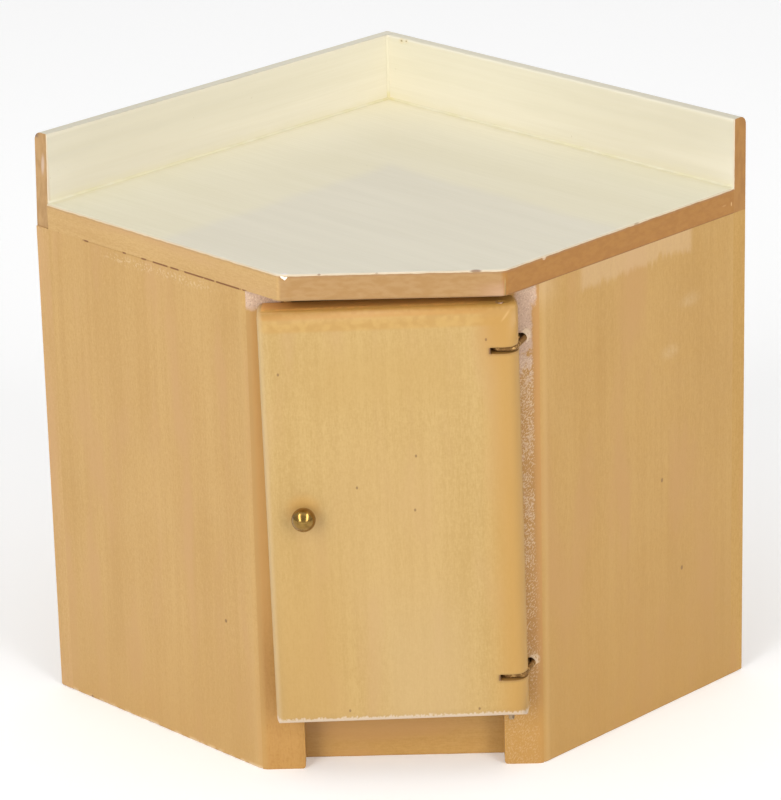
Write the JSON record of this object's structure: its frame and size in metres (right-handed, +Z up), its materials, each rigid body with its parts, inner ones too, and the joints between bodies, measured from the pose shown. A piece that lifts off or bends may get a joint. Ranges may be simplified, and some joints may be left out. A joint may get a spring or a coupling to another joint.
{
  "type": "corner vanity unit",
  "caption": "Doll's-house size wooden corner vanity base unit: five-sided cupboard, painted top with upstand, door on wire-loop hinges, ball knob.",
  "frame": {"origin": "on the floor, at the middle of the closed unit's box", "axes": "+X to the right along the door, +Y to the unit's back corner, +Z up"},
  "size_m": [0.1018, 0.0902, 0.0864],
  "materials": {
    "painted_top": "brushed cream paint, edges bare",
    "painted_upstand": "brushed cream paint, ends bare",
    "board_wood": "bare, sanded",
    "side_wood": "satin lacquer",
    "post_wood": "satin lacquer with pale bloom",
    "toe_wood": "satin lacquer",
    "door_wood": "satin lacquer, worn edges",
    "knob_brass": "polished, a little tarnished",
    "pin_steel": "dull wire",
    "wire_brass": "tarnished wire"
  },
  "bodies": {
    "carcass": {"worktop": "painted_top", "left_upstand": "painted_upstand", "right_upstand": "painted_upstand", "left_back_board": "board_wood", "right_back_board": "board_wood", "left_side_board": "side_wood", "right_side_board": "side_wood", "left_post": "post_wood", "right_post": "post_wood", "toe_board": "toe_wood", "floor_board": "board_wood", "upper_hinge_loop": "wire_brass", "lower_hinge_loop": "wire_brass"},
    "door": {"door": "door_wood", "knob": "knob_brass", "upper_hinge_pin": "pin_steel", "lower_hinge_pin": "pin_steel"}
  },
  "joints": [
    {"name": "door_swing", "type": "hinge", "parent": "carcass", "child": "door", "pos_m": [0.01545, -0.03984, 0.0093], "axis": [-0.0147, 0, 0.9999], "range_deg": [0, 95]}
  ]
}
